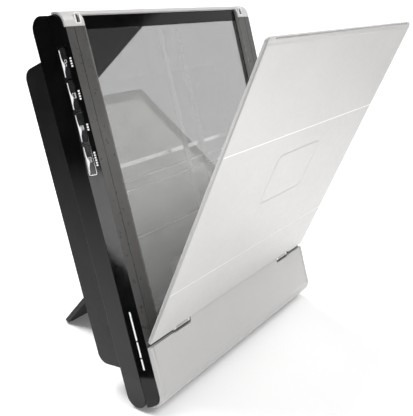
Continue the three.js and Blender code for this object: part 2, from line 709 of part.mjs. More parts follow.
// ---- scanning gear ----
function carriageTray() {
  const trayX = grown([0, TOP_WIDTH], -TRAY_INSET);
  const tray = block(trayX, around(0, TRAY_HALF_LENGTH), [TRAY_BOTTOM, TRAY_TOP]);
  const bearing = block(around(SHAFT_X, 8), [-8, 8], [SHAFT_Z - SHAFT_RADIUS - 2.5, TRAY_TOP - 1]);
  const bracket = block([RACK_X[0] - 8, RACK_X[0] - 4], [-6, 6], [GEAR_Z - 4, TRAY_TOP - 1]);
  const shaftBore = rodY(SHAFT_RADIUS + GAP, [-20, 20], SHAFT_X, SHAFT_Z);
  const axleBore = rodX(AXLE_RADIUS + GAP, [RACK_X[0] - 9, RACK_X[0] - 3], 0, GEAR_Z);
  const gearSlot = block(grown(RACK_X, 0.7), [-6.5, 6.5], grown([TRAY_BOTTOM, TRAY_TOP], 1));
  const body = tray.add(bearing).add(bracket).subtract(shaftBore).subtract(axleBore).subtract(gearSlot);
  return toMesh(body, "carriage", darkGrey);
}

function sensorBar() {
  const floor = HOUSING_TOP - SENSOR_DEPTH;
  const housingX = grown([0, TOP_WIDTH], -HOUSING_INSET);
  const housing = block(housingX, HOUSING_Y, [HOUSING_TOP - HOUSING_HEIGHT, HOUSING_TOP]);
  const lensSlot = block(grown(SENSOR_X, 0.5), grown(LENS_Y, 0.4), [floor, 0]);
  const lightSlot = block(grown(SENSOR_X, 0.5), grown(LIGHT_Y, 0.4), [floor, 0]);
  const lens = block(SENSOR_X, LENS_Y, [floor + 0.4, HOUSING_TOP + 0.4]);
  const light = block(SENSOR_X, LIGHT_Y, [floor + 0.4, HOUSING_TOP - 0.2]);
  return [
    toMesh(housing.subtract(lensSlot).subtract(lightSlot), "sensor_housing", satinBlack),
    toMesh(lens, "rod_lens_strip", darkGrey),
    toMesh(light, "light_guide", white),
  ];
}

function glassSpacer(name, x) {
  const bottom = HOUSING_TOP + GAP;
  return toMesh(block(x, [-4, 4], [bottom, bottom + SPACER_HEIGHT]), name, palePlastic);
}

function carriageMotor() {
  const can = rodX(MOTOR_RADIUS, [RACK_X[1] + 4, RACK_X[1] + 30], MOTOR_Y, GEAR_Z, 28);
  const shaft = rodX(MOTOR_SHAFT_RADIUS, [RACK_X[0], RACK_X[1] + 6], MOTOR_Y, GEAR_Z, 12);
  const lug = block([RACK_X[1] + 8, RACK_X[1] + 26], around(MOTOR_Y, 5), [GEAR_Z, TRAY_BOTTOM - GAP]);
  return toMesh(can.add(shaft).add(lug), "carriage_motor", steel);
}

function carriageGroup() {
  const group = new THREE.Group();
  const spacerX = [30.5, 33.5];
  group.position.y = HOME_Y;
  group.add(carriageTray(), ...sensorBar(), carriageMotor());
  group.add(glassSpacer("glass_spacer_left", spacerX), glassSpacer("glass_spacer_right", mirrorX(spacerX)));
  return group;
}

// A tooth's depth below the pitch line, and its half widths at root and tip as parts of the pitch.
const ROOT_DEPTH = 1.25 * MODULE_SIZE;
const ROOT_HALF = 0.28;
const TIP_HALF = 0.11;

function gearOutline(teeth, bore) {
  const pitch = (teeth * MODULE_SIZE) / 2;
  const tip = pitch + MODULE_SIZE - TOOTH_CLEARANCE;
  const root = pitch - ROOT_DEPTH;
  const step = (2 * Math.PI) / teeth;
  const flank = [[root, -ROOT_HALF], [tip, -TIP_HALF], [tip, TIP_HALF], [root, ROOT_HALF]];
  const points = [];
  for (let tooth = 0; tooth < teeth; tooth += 1) {
    for (const [radius, part] of flank) {
      const angle = (tooth + part) * step;
      points.push([radius * Math.cos(angle), radius * Math.sin(angle)]);
    }
  }
  const shape = polygon(points);
  const hole = new THREE.Path();
  hole.absarc(0, 0, bore, 0, 2 * Math.PI, true);
  shape.holes.push(hole);
  return shape;
}

function driveGear() {
  const disc = prismX(gearOutline(DRIVE_TEETH, AXLE_RADIUS - 0.5), RACK_X);
  const gear = toMesh(disc.add(rodX(AXLE_RADIUS, [RACK_X[0] - 10, RACK_X[1] + 1], 0, 0, 16)), "drive_gear", palePlastic);
  gear.position.set(0, HOME_Y, GEAR_Z);
  return gear;
}

function motorPinion() {
  const outline = gearOutline(PINION_TEETH, MOTOR_SHAFT_RADIUS + GAP);
  const gear = toMesh(prismX(outline, [RACK_X[0] + 1, RACK_X[1]]), "motor_pinion", palePlastic);
  gear.position.set(0, HOME_Y + MOTOR_Y, GEAR_Z);
  gear.rotation.x = Math.PI / PINION_TEETH;
  return gear;
}

function driveRack() {
  const pitch = Math.PI * MODULE_SIZE;
  const base = RACK_PITCH_Z - ROOT_DEPTH;
  const tip = RACK_PITCH_Z + MODULE_SIZE - TOOTH_CLEARANCE;
  const bottom = CASE_FLOOR + GAP;
  const first = HOME_Y - 2.5 * pitch;
  const end = first + RACK_TEETH * pitch;
  const points = [[first - pitch, bottom], [end, bottom], [end, base]];
  for (let tooth = RACK_TEETH - 1; tooth >= 0; tooth -= 1) {
    const centre = first + tooth * pitch;
    points.push([centre + ROOT_HALF * pitch, base], [centre + TIP_HALF * pitch, tip]);
    points.push([centre - TIP_HALF * pitch, tip], [centre - ROOT_HALF * pitch, base]);
  }
  points.push([first - pitch, base]);
  return toMesh(prismX(polygon(points), RACK_X), "drive_rack", palePlastic);
}

function guideShaft() {
  return toMesh(rodY(SHAFT_RADIUS, SHAFT_Y, SHAFT_X, SHAFT_Z), "guide_shaft", steel);
}

function shaftHolder(name, y) {
  const foot = block(around(SHAFT_X, 8), y, [CASE_FLOOR + GAP, SHAFT_Z + 5.5]);
  return toMesh(foot.subtract(rodY(SHAFT_RADIUS + GAP, grown(y, 1), SHAFT_X, SHAFT_Z)), name, darkGrey);
}

// ---- electronics ----
function mainBoard() {
  const top = USB_Z[0] - GAP;
  return toMesh(block(MAIN_BOARD_X, MAIN_BOARD_Y, [top - BOARD_THICKNESS, top]), "main_board", boardGreen);
}

function usbSocket() {
  const shell = block([TOP_WIDTH - 14, TOP_WIDTH + FLARE - 0.6], USB_Y, USB_Z);
  const mouth = block([TOP_WIDTH - 10, TOP_WIDTH + 10], grown(USB_Y, -USB_WALL), grown(USB_Z, -USB_WALL));
  return toMesh(shell.subtract(mouth), "usb_socket", steel);
}

// A flat cable that lies on the case floor, turns over and ends under the carriage at rest.
function ribbonCable() {
  const upper = [[70, -38.2], [120, -38.2], [126, -36], [126, -34.4], [120, -32.2], [90, -32.2]];
  const lower = [[90, -31.8], [120, -31.8], [127, -34], [127, -36.4], [120, -38.6], [70, -38.6]];
  return toMesh(prismX(polygon([...upper, ...lower]), RIBBON_X), "ribbon_cable", palePlastic);
}

// ---- assembly ----
function scannerBody() {
  const group = new THREE.Group();
  const otherArm = mirrorX(ARM_X);
  const feetX = [FOOT_INSET_X, TOP_WIDTH - FOOT_INSET_X];
  const feet = FOOT_PLACES_Y.flatMap((y) => feetX.map((x) => [x, y]));
  group.add(bottomCase(), undersideCover(), topFrame(), endCap(), hingePanel(), glassPlate());
  group.add(calibrationStrip(), slopeGroup(), lidGroup(), standGroup(), standPin());
  group.add(hingeArm("hinge_arm_left", ARM_X), hingeArm("hinge_arm_right", otherArm));
  group.add(hingeGuide("hinge_guide_left", ARM_X), hingeGuide("hinge_guide_right", otherArm));
  group.add(standingPad("standing_pad_left", STANDING_PAD_X), standingPad("standing_pad_right", mirrorX(STANDING_PAD_X)));
  feet.forEach(([x, y], index) => group.add(rubberFoot(`rubber_foot_${index + 1}`, x, y)));
  SCREW_PLACES.forEach(([x, y], index) => group.add(caseScrew(`case_screw_${index + 1}`, x, y)));
  group.add(lockSlider(), carriageGroup(), driveGear(), motorPinion(), driveRack(), guideShaft());
  group.add(shaftHolder("shaft_holder_lower", [SHAFT_Y[0], SHAFT_Y[0] + HOLDER_THICKNESS]));
  group.add(shaftHolder("shaft_holder_upper", [SHAFT_Y[1] - HOLDER_THICKNESS, SHAFT_Y[1]]));
  group.add(mainBoard(), usbSocket(), ribbonCable());
  return group;
}

const scanner = new THREE.Group();
const leaning = new THREE.Group();
leaning.rotation.x = Math.PI / 2 - rad(LEAN);
leaning.add(scannerBody());
scanner.add(leaning);
scanner.updateMatrixWorld(true);
const bounds = new THREE.Box3().setFromObject(scanner, true);
const centre = bounds.getCenter(new THREE.Vector3());
leaning.position.set(-centre.x, -centre.y, -bounds.min.z);

export default scanner;
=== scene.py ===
"""Looks of the flatbed scanner: materials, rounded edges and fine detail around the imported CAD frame."""

import json
import math

import bmesh
import bpy
from mathutils import Matrix, Quaternion, Vector


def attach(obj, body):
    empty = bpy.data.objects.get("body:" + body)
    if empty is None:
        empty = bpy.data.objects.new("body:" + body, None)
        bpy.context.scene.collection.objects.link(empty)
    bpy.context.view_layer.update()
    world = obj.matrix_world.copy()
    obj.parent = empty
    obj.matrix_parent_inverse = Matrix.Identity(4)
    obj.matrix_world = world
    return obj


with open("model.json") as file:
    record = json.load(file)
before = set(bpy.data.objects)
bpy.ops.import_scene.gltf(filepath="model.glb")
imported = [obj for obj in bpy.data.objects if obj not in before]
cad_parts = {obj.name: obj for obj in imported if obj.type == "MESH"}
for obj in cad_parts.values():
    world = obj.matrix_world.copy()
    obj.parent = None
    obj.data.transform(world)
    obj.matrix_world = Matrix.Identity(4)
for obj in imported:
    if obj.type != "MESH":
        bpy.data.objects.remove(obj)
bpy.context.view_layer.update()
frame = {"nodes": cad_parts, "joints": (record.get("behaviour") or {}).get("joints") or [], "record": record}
MM = 0.001


# ---- camera ----
# It stands near the object, at its left, so the perspective is strong. Angles are in degrees.
CAMERA_PLACE = Vector((-558.25, -426.93, 421.30)) * MM
CAMERA_AZIMUTH = 303.55
CAMERA_ELEVATION = 15.7
CAMERA_LENS = 53.18
CAMERA_SENSOR = 36
CAMERA_SHIFT = (-0.0974, -0.101)
CAMERA_CLIP = (0.01, 300)


def make_camera():
    azimuth, elevation = math.radians(CAMERA_AZIMUTH), math.radians(CAMERA_ELEVATION)
    level = math.cos(elevation)
    back = Vector((math.sin(azimuth) * level, -math.cos(azimuth) * level, math.sin(elevation)))
    data = bpy.data.cameras.new("camera")
    data.sensor_width = CAMERA_SENSOR
    data.lens = CAMERA_LENS
    data.shift_x, data.shift_y = CAMERA_SHIFT
    data.clip_start, data.clip_end = CAMERA_CLIP
    camera = bpy.data.objects.new("camera", data)
    camera.rotation_mode = "QUATERNION"
    camera.rotation_quaternion = (-back).to_track_quat("-Z", "Y")
    camera.location = CAMERA_PLACE
    bpy.context.scene.collection.objects.link(camera)
    bpy.context.scene.camera = camera


make_camera()


# ---- the object's own axes ----
def joint(name):
    return next(j for j in frame["joints"] if j["name"] == name)


def axes(x, y, z):
    return Matrix((x, y, z)).transposed()


def extent(node, turn):
    """Lowest and highest corner of a CAD node, in millimetres, along the columns of turn."""
    inverse = turn.inverted()
    corners = [inverse @ v.co / MM for v in frame["nodes"][node].data.vertices]
    low = Vector(min(c[i] for c in corners) for i in range(3))
    high = Vector(max(c[i] for c in corners) for i in range(3))
    return low, high


# TILT turns to the body's axes: across, along the glass from the hinge end, and out of the glass.
ACROSS = Vector((1, 0, 0))
ALONG = Vector(joint("carriage_travel")["axis"]).normalized()
OUT = ACROSS.cross(ALONG)
TILT = axes(ACROSS, ALONG, OUT)
PLACED = TILT.to_4x4()
SIDE = extent("end_cap", TILT)[0].x
ORIGIN = Vector((SIDE, extent("bottom_case", TILT)[0].y, extent("top_frame", TILT)[1].z))
BODY = PLACED @ Matrix.Translation(ORIGIN * MM)

# LID stands in the open lid's pivot, SLOPE lies in the slanted side face that carries the keys.
LID_OPEN = math.radians(-joint("lid_swing")["range_deg"][0])
LID_PIVOT = Vector(joint("lid_swing")["pos_m"])
LID_PIVOT.x = SIDE * MM
LID = Matrix.Translation(LID_PIVOT) @ Matrix.Rotation(LID_OPEN, 4, "X") @ PLACED
SLOPE_OUT = -Vector(joint("copy_press")["axis"]).normalized()
SLOPE = axes(ALONG.cross(SLOPE_OUT), ALONG, SLOPE_OUT)
SLOPE_PLACED = SLOPE.to_4x4()
SLOPE_SURFACE = (SLOPE.inverted() @ (TILT @ ORIGIN)).z


def in_body(point):
    return BODY.inverted() @ point / MM


# ---- light ----
WORLD_LIGHT = 0.30
SUN_LIGHT = 3.6
SUN_TURN = (-24, -4, 0)
SUN_SPREAD = 40
# Name, place, target, size (metres), power (watts) and roll (degrees).
AREA_LIGHTS = (
    ("front_fill", (-0.7, -2.4, 1.0), (0, 0, 0.1), (1.8, 1.6), 12, 0),
    ("floor_fill", (0.7, -1.4, 2.3), (0.35, -0.25, 0.0), (2.0, 1.6), 40, 0),
    ("side_card", (2.4, -1.3, 0.74), (0.4, -1.3, 0.74), (4.2, 1.5), 21, 9.7),
)


def area_light(name, place, target, size, power, roll):
    data = bpy.data.lights.new(name, "AREA")
    data.shape = "RECTANGLE"
    data.size, data.size_y = size
    data.energy = power
    light = bpy.data.objects.new(name, data)
    light.location = Vector(place)
    light.rotation_mode = "QUATERNION"
    facing = (Vector(target) - Vector(place)).to_track_quat("-Z", "Y")
    light.rotation_quaternion = facing @ Quaternion((0, 0, 1), math.radians(roll))
    light.visible_camera = False
    bpy.context.scene.collection.objects.link(light)


def make_light():
    world = bpy.data.worlds.new("studio")
    world.use_nodes = True
    background = world.node_tree.nodes["Background"]
    background.inputs["Color"].default_value = (1, 1, 1, 1)
    background.inputs["Strength"].default_value = WORLD_LIGHT
    bpy.context.scene.world = world
    bpy.context.scene.view_settings.view_transform = "Standard"
    key = bpy.data.lights.new("key", "SUN")
    key.energy = SUN_LIGHT
    key.angle = math.radians(SUN_SPREAD)
    sun = bpy.data.objects.new("key", key)
    sun.rotation_euler = [math.radians(turn) for turn in SUN_TURN]
    bpy.context.scene.collection.objects.link(sun)
    for light in AREA_LIGHTS:
        area_light(*light)


make_light()


# ---- materials ----
class Nodes:
    """Shorthand for building one material's node tree."""

    def __init__(self, name):
        self.material = bpy.data.materials.new(name)
        self.material.use_nodes = True
        self.tree = self.material.node_tree
        self.shader = self.tree.nodes["Principled BSDF"]
        self.place = self.tree.nodes.new("ShaderNodeTexCoord").outputs["Object"]

    def add(self, kind, **values):
        node = self.tree.nodes.new(kind)
        for key, value in values.items():
            setattr(node, key, value)
        return node

    def link(self, source, target):
        self.tree.links.new(source, target)

    def feed(self, source, name):
        self.link(source, self.shader.inputs[name])

    def noise(self, scale, detail=2.0, stretch=None, rough=0.5):
        texture = self.add("ShaderNodeTexNoise")
        texture.inputs["Scale"].default_value = scale
        texture.inputs["Detail"].default_value = detail
        texture.inputs["Roughness"].default_value = rough
        source = self.place
        if stretch:
            mapping = self.add("ShaderNodeMapping")
            mapping.inputs["Scale"].default_value = stretch
            self.link(source, mapping.inputs["Vector"])
            source = mapping.outputs["Vector"]
        self.link(source, texture.inputs["Vector"])
        return texture.outputs["Fac"]

    def spread(self, source, low, high, edges=(0.3, 0.7)):
        spread = self.add("ShaderNodeMapRange")
        spread.inputs["From Min"].default_value, spread.inputs["From Max"].default_value = edges
        spread.inputs["To Min"].default_value, spread.inputs["To Max"].default_value = low, high
        self.link(source, spread.inputs["Value"])
        return spread.outputs["Result"]

    def between(self, source, first, second):
        mix = self.add("ShaderNodeMix", data_type="RGBA")
        mix.inputs[6].default_value = (*first, 1)
        mix.inputs[7].default_value = (*second, 1)
        self.link(source, mix.inputs[0])
        return mix.outputs[2]

    def bump(self, source, strength, distance):
        bump = self.add("ShaderNodeBump")
        bump.inputs["Strength"].default_value = strength
        bump.inputs["Distance"].default_value = distance
        self.link(source, bump.inputs["Height"])
        self.feed(bump.outputs["Normal"], "Normal")

    def set(self, **values):
        for key, value in values.items():
            self.shader.inputs[key.replace("_", " ")].default_value = value
        return self


def grey(value, warm=0.0):
    return (value * (1 + warm), value, value * (1 - warm))


MOTTLE_SCALE = 40
GRAIN_STRENGTH = 0.25


def plastic(name, dark, light, rough, grain=0, depth=0.0, **values):
    """Moulded plastic: a slow colour change, a gloss that varies and, with a grain, a fine relief."""
    n = Nodes(name).set(**values)
    n.feed(n.between(n.spread(n.noise(MOTTLE_SCALE, 3), 0, 1), dark, light), "Base Color")
    n.feed(n.spread(n.noise(MOTTLE_SCALE * 4, 4, rough=0.6), *rough), "Roughness")
    if grain:
        n.bump(n.noise(grain, 2), GRAIN_STRENGTH, depth)
    return n.material


FLAKE_SCALE, FLAKE_SHARE = 5200, 0.55
SLOW_SCALE, SLOW_SHARE = 18, 0.2
PAINT_GLOSS_SCALE = 160
PAINT_GRAIN = 4200
PAINT_GRAIN_DEPTH = 0.00002


def paint(name, dark, light, rough):
    """Silver paint: flakes that differ in brightness over a slow colour change."""
    n = Nodes(name).set(Metallic=0.15)
    flakes = n.spread(n.noise(FLAKE_SCALE, 1), 0, 1, (0.35, 0.65))
    slow = n.spread(n.noise(SLOW_SCALE, 3), 0, 1)
    tone = n.add("ShaderNodeMath", operation="MULTIPLY_ADD")
    n.link(flakes, tone.inputs[0])
    tone.inputs[1].default_value = FLAKE_SHARE
    share = n.add("ShaderNodeMath", operation="MULTIPLY")
    n.link(slow, share.inputs[0])
    share.inputs[1].default_value = SLOW_SHARE
    n.link(share.outputs[0], tone.inputs[2])
    n.feed(n.between(tone.outputs[0], dark, light), "Base Color")
    n.feed(n.spread(n.noise(PAINT_GLOSS_SCALE, 4), *rough), "Roughness")
    n.bump(n.noise(PAINT_GRAIN, 1), 0.12, PAINT_GRAIN_DEPTH)
    return n.material


def glass(name):
    n = Nodes(name).set(Base_Color=(0.80, 0.81, 0.80, 1), Transmission_Weight=1.0, IOR=3.0)
    n.feed(n.spread(n.noise(14, 3), 0.0, 0.012), "Roughness")
    return n.material


def board(name):
    """A circuit board: pale tracks on green."""
    n = Nodes(name)
    tracks = n.spread(n.noise(320, 1, (1, 0.15, 1)), 0, 1, (0.48, 0.52))
    n.feed(n.between(tracks, (0.02, 0.09, 0.05), (0.04, 0.16, 0.08)), "Base Color")
    n.feed(n.spread(n.noise(90, 2), 0.3, 0.5), "Roughness")
    n.bump(tracks, 0.3, 0.0001)
    return n.material


METAL_LINES = 900
METAL_DEPTH = 0.00003


def metal(name, value, rough):
    """Drawn or turned steel: fine lines along one direction and a gloss that varies."""
    n = Nodes(name).set(Metallic=1.0)
    lines = n.noise(METAL_LINES, 2, (1, 0.05, 0.05))
    n.feed(n.between(n.spread(lines, 0, 1), grey(value * 0.8), grey(value)), "Base Color")
    n.feed(n.spread(n.noise(120, 3), *rough), "Roughness")
    n.bump(lines, 0.2, METAL_DEPTH)
    return n.material


FINISHES = (
    plastic("gloss_black", grey(0.002), grey(0.004), (0.05, 0.12), 900, 0.00001, IOR=1.36),
    plastic("satin_black", grey(0.005), grey(0.009), (0.34, 0.48), 1900, 0.00008, IOR=1.36),
    # a dark grey satin finish for the rails, lightened as a painted reflection of the room
    plastic("rail_grey", grey(0.045, 0.03), grey(0.055, 0.03), (0.26, 0.34), IOR=1.6),
    # painted highlight: a paler grey for the far well wall of the black frame
    plastic("well_wall", grey(0.24, 0.02), grey(0.30, 0.02), (0.25, 0.35)),
    # a paler grey: on the rail beads a painted highlight, on the slot bars their own colour
    plastic("rail_edge", grey(0.085, 0.03), grey(0.11, 0.03), (0.22, 0.3), IOR=1.6),
    plastic("key_black", grey(0.012), grey(0.02), (0.12, 0.2), 1200, 0.00002),
    paint("silver", grey(0.47, 0.012), grey(0.55, 0.012), (0.32, 0.44)),
    # a darker copy of the silver: painted shade on the lid's side faces, and the hinge arms' colour
    paint("silver_edge", grey(0.38, 0.012), grey(0.46, 0.012), (0.28, 0.40)),
    paint("silver_panel", grey(0.42, 0.012), grey(0.50, 0.012), (0.32, 0.44)),
    # painted highlight: a much paler silver for the raised lines on the lid
    paint("ridge_silver", grey(0.74, 0.012), grey(0.84, 0.012), (0.3, 0.4)),
    paint("silver_inside", grey(0.70, 0.012), grey(0.78, 0.012), (0.4, 0.5)),
    # painted shade: a darker copy of the steel for the guide shaft inside the case
    metal("dark_steel", 0.16, (0.3, 0.42)),
    metal("chrome", 0.30, (0.10, 0.18)),
    plastic("print_white", grey(0.78), grey(0.86), (0.4, 0.5), 1500, 0.00001),
    glass("glass"),
    plastic("white", grey(0.80), grey(0.86), (0.5, 0.6), 1500, 0.00003),
    plastic("foam", grey(0.82, 0.01), grey(0.90, 0.01), (0.8, 0.95), 1300, 0.0003),
    plastic("dark_grey", grey(0.035), grey(0.055), (0.35, 0.5), 1600, 0.00006),
    metal("steel", 0.62, (0.18, 0.32)),
    metal("bright_steel", 0.88, (0.14, 0.24)),
    plastic("rubber", grey(0.018), grey(0.03), (0.7, 0.85), 1200, 0.0001),
    board("board"),
    plastic("pale_plastic", grey(0.55, 0.02), grey(0.64, 0.02), (0.35, 0.5), 1500, 0.00005),
)
FINISH = {material.name.split(".")[0]: material for material in FINISHES}


# ---- CAD nodes that keep their shape ----
EDGES = {
    "bottom_case": 1.2, "underside_cover": 2.0, "top_frame": 1.2, "end_cap": 0.7, "hinge_panel": 1.2,
    "glass_plate": 0.3, "lid_skin": 0.35, "lid_frame": 0.3, "document_mat": 0.8, "stand_leg": 1.0,
    "key_bezel": 0.3, "copy_key": 0.5, "scan_key": 0.5, "document_key": 0.5, "mail_key": 0.5,
    "hinge_arm_left": 0.4, "hinge_arm_right": 0.4,
}
EDGE_ELSEWHERE = 0.25
KEYS = {"copy_key": "copy_button", "scan_key": "scan_button",
        "document_key": "document_button", "mail_key": "mail_button"}
# painted shade: the guide shaft and drive rack take darker finishes for the shaded inside of the case
OTHER_FINISH = {"key_bezel": "chrome", **{key: "key_black" for key in KEYS}, "lid_frame": "silver_inside",
                "hinge_panel": "silver_panel", "hinge_arm_left": "silver_edge",
                "hinge_arm_right": "silver_edge", "guide_shaft": "dark_steel", "drive_rack": "dark_grey"}
SLOTS = {entry["slot"] for entry in frame["record"]["materials"]}
WELD_DISTANCE = 0.000005
FLAT_ANGLE = 0.5
EDGE_ANGLE = 28
EDGE_STEPS = 3
NORMAL_WEIGHT = 100


def shade(piece, edge):
    """Rounds the piece's edges and evens its shading, with modifiers only."""
    mesh = piece.data
    for name in ("custom_normal", "sharp_edge", "sharp_face"):
        if name in mesh.attributes:
            mesh.attributes.remove(mesh.attributes[name])
    mesh.polygons.foreach_set("use_smooth", [True] * len(mesh.polygons))
    weld = piece.modifiers.new("weld", "WELD")
    weld.merge_threshold = WELD_DISTANCE
    flat = piece.modifiers.new("flat", "DECIMATE")
    flat.decimate_type = "DISSOLVE"
    flat.angle_limit = math.radians(FLAT_ANGLE)
    bevel = piece.modifiers.new("edges", "BEVEL")
    bevel.width = edge * MM
    bevel.segments = EDGE_STEPS
    bevel.limit_method = "ANGLE"
    bevel.angle_limit = math.radians(EDGE_ANGLE)
    bevel.miter_outer = "MITER_ARC"
    bevel.use_clamp_overlap = True
    normal = piece.modifiers.new("normals", "WEIGHTED_NORMAL")
    normal.keep_sharp = False
    normal.weight = NORMAL_WEIGHT


def slot_of(node):
    """The record's slot that a CAD node's packed material is named after."""
    return frame["nodes"][node].data.materials[0].name.split(".")[0]


def dress(node):
    slot = slot_of(node)
    if slot not in SLOTS:
        raise ValueError(f"{node}: {slot}")
    piece = frame["nodes"][node]
    piece.data.materials.clear()
    piece.data.materials.append(FINISH[OTHER_FINISH.get(node, slot)])
    shade(piece, EDGES.get(node, EDGE_ELSEWHERE))


for node in frame["nodes"]:
    dress(node)


def paint_faces(node, finish, chosen):
    """Gives another finish to the node's faces that chosen(normal, middle) picks, in world axes."""
    mesh = frame["nodes"][node].data
    mesh.materials.append(FINISH[finish])
    for face in mesh.polygons:
        if chosen(face.normal, face.center):
            face.material_index = len(mesh.materials) - 1
            face.use_smooth = False


FACING = 0.9
RAIL_SLACK = 0.04
WALL_SLACK = 0.2
GLASS_UNDER = 4.0
glass_low, glass_high = extent("glass_plate", TILT)


def is_rail(normal, middle):
    return in_body(middle).z > -RAIL_SLACK


def is_far_well_wall_for_painted_light(normal, middle):
    """The wall beside the glass at the far side, which catches the light and so gets a paler grey, a painted
    highlight.
    """
    place = in_body(middle)
    far_side = place.x > glass_high.x - ORIGIN.x - 2 * GLASS_UNDER
    return normal.x < -FACING and far_side and glass_high.z - ORIGIN.z - WALL_SLACK < place.z < 0


def is_lid_side_for_shade(normal, middle):
    return abs(normal.x) > FACING


# partly painted reflection: the rail faces of the black frame take a dark grey, lightened to stand in for what
# the gloss reflects
paint_faces("top_frame", "rail_grey", is_rail)
# painted highlight: the far wall of the glass well takes a paler grey than the black frame
paint_faces("top_frame", "well_wall", is_far_well_wall_for_painted_light)
# painted shade: the lid's side faces take a darker copy of the silver
paint_faces("lid_skin", "silver_edge", is_lid_side_for_shade)


# ---- shapes for the pieces made here, in millimetres ----
def grown(span, by):
    return (span[0] - by, span[1] + by)


def around(middle, half):
    return (middle - half, middle + half)


def rounded(x, y, round, steps=5):
    """The outline of a rectangle with round corners, anticlockwise."""
    corners = [(x[1] - round, y[1] - round, 0), (x[0] + round, y[1] - round, 90),
               (x[0] + round, y[0] + round, 180), (x[1] - round, y[0] + round, 270)]
    outline = []
    for cx, cy, start in corners:
        for i in range(steps + 1):
            turn = math.radians(start + 90 * i / steps)
            outline.append((cx + round * math.cos(turn), cy + round * math.sin(turn)))
    return outline


def add_prism(form, outline, low, high, place, edge=0.0):
    """Adds a closed solid to form: the outline in place's xy plane, from low to high, its top edge rounded."""
    bottom = [form.verts.new(place @ (Vector((x, y, low)) * MM)) for x, y in outline]
    top = [form.verts.new(place @ (Vector((x, y, high)) * MM)) for x, y in outline]
    form.faces.new(bottom[::-1])
    lid = form.faces.new(top)
    for i in range(len(outline)):
        j = (i + 1) % len(outline)
        form.faces.new((bottom[i], bottom[j], top[j], top[i]))
    if edge:
        edges = list(lid.edges)
        bmesh.ops.bevel(form, geom=edges, offset=edge * MM, segments=2, affect="EDGES", profile=0.5)


def add_ring(form, outer, inner, low, high, place):
    """Adds a closed ring between two outlines that have the same number of points."""
    rows = []
    for outline, z in ((outer, low), (outer, high), (inner, high), (inner, low)):
        rows.append([form.verts.new(place @ (Vector((x, y, z)) * MM)) for x, y in outline])
    for k in range(4):
        row, after = rows[k], rows[(k + 1) % 4]
        for i in range(len(row)):
            j = (i + 1) % len(row)
            form.faces.new((row[i], row[j], after[j], after[i]))


def add_channel(form, x, y, top, depth, place):
    """Adds a V-shaped bar along y, for cutting a channel into a face at the height top."""
    middle = (x[0] + x[1]) / 2
    section = [(x[0], top + 0.02), (middle, top - depth), (x[1], top + 0.02)]
    ends = [[form.verts.new(place @ (Vector((a, b, z)) * MM)) for a, z in section] for b in y]
    form.faces.new(ends[0])
    form.faces.new(ends[1][::-1])
    for i in range(3):
        j = (i + 1) % 3
        form.faces.new((ends[0][i], ends[1][i], ends[1][j], ends[0][j]))


def finish_form(name, form, finish=None):
    mesh = bpy.data.meshes.new(name)
    bmesh.ops.recalc_face_normals(form, faces=form.faces)
    form.to_mesh(mesh)
    form.free()
    piece = bpy.data.objects.new(name, mesh)
    bpy.context.scene.collection.objects.link(piece)
    if finish:
        mesh.materials.append(FINISH[finish])
        mesh.polygons.foreach_set("use_smooth", [True] * len(mesh.polygons))
        normal = piece.modifiers.new("normals", "WEIGHTED_NORMAL")
        normal.weight = NORMAL_WEIGHT
    return piece


def ridden(name, form, finish, body):
    piece = finish_form(name, form, finish)
    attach(piece, body)


def carve(node, form):
    """Cuts form out of a CAD node as a modifier, before its shading is evened."""
    cutter = finish_form(node + "_cutter", form)
    cutter.hide_render = True
    piece = frame["nodes"][node]
    cut = piece.modifiers.new("grooves", "BOOLEAN")
    cut.operation = "DIFFERENCE"
    cut.solver = "EXACT"
    cut.object = cutter
    piece.modifiers.move(len(piece.modifiers) - 1, len(piece.modifiers) - 2)


# ---- lid ----
LID_RIDGES = ((70, 0.8), (230, 1.3))
RIDGE_HEIGHT = 0.2
RIDGE_ROOT = 0.3
RIDGE_END = 0.5
LID_CHAMFER = 7
CHAMFER_DEPTH = 1.0
END_STEP = 1.5
END_STEP_X = 11
END_STEP_DEPTH = 1.9
END_STEP_ROUND = 0.8
EMBOSS_X = (112, 200)
EMBOSS_Y = (142, 204)
EMBOSS_ROUND = 7
EMBOSS_LINE = 0.7
EMBOSS_DEPTH = 0.5


def lid_extent():
    shift = LID.to_3x3().inverted() @ LID.translation / MM
    return [corner - shift for corner in extent("lid_skin", LID.to_3x3())]


def lid_ridges(low, high):
    """Two raised lines across the lid, in a paler silver that is a painted highlight."""
    form = bmesh.new()
    for y, wide in LID_RIDGES:
        ridge = rounded(grown((low.x, high.x), -RIDGE_END), around(y, wide / 2), wide / 3, 3)
        add_prism(form, ridge, high.z - RIDGE_ROOT, high.z + RIDGE_HEIGHT, LID, RIDGE_HEIGHT)
    ridden("lid_ridges", form, "ridge_silver", "lid")


def carve_lid_end(low, high):
    """The slanted band and the step along the lid's free end."""
    past = high.y + 1
    section = [(high.y - LID_CHAMFER, high.z), (past, high.z - CHAMFER_DEPTH * (1 + 1 / LID_CHAMFER)),
               (past, high.z + 1), (high.y - LID_CHAMFER, high.z + 1)]
    turned = LID @ axes(Vector((0, 1, 0)), Vector((0, 0, 1)), Vector((1, 0, 0))).to_4x4()
    form = bmesh.new()
    add_prism(form, section, low.x - 1, high.x + 1, turned)
    carve("lid_skin", form)
    form = bmesh.new()
    step_x = grown((low.x, high.x), -END_STEP_X)
    step = rounded(step_x, (high.y - END_STEP, high.y + 2), END_STEP_ROUND, 2)
    add_prism(form, step, high.z - END_STEP_DEPTH, high.z + 2, LID)
    carve("lid_skin", form)


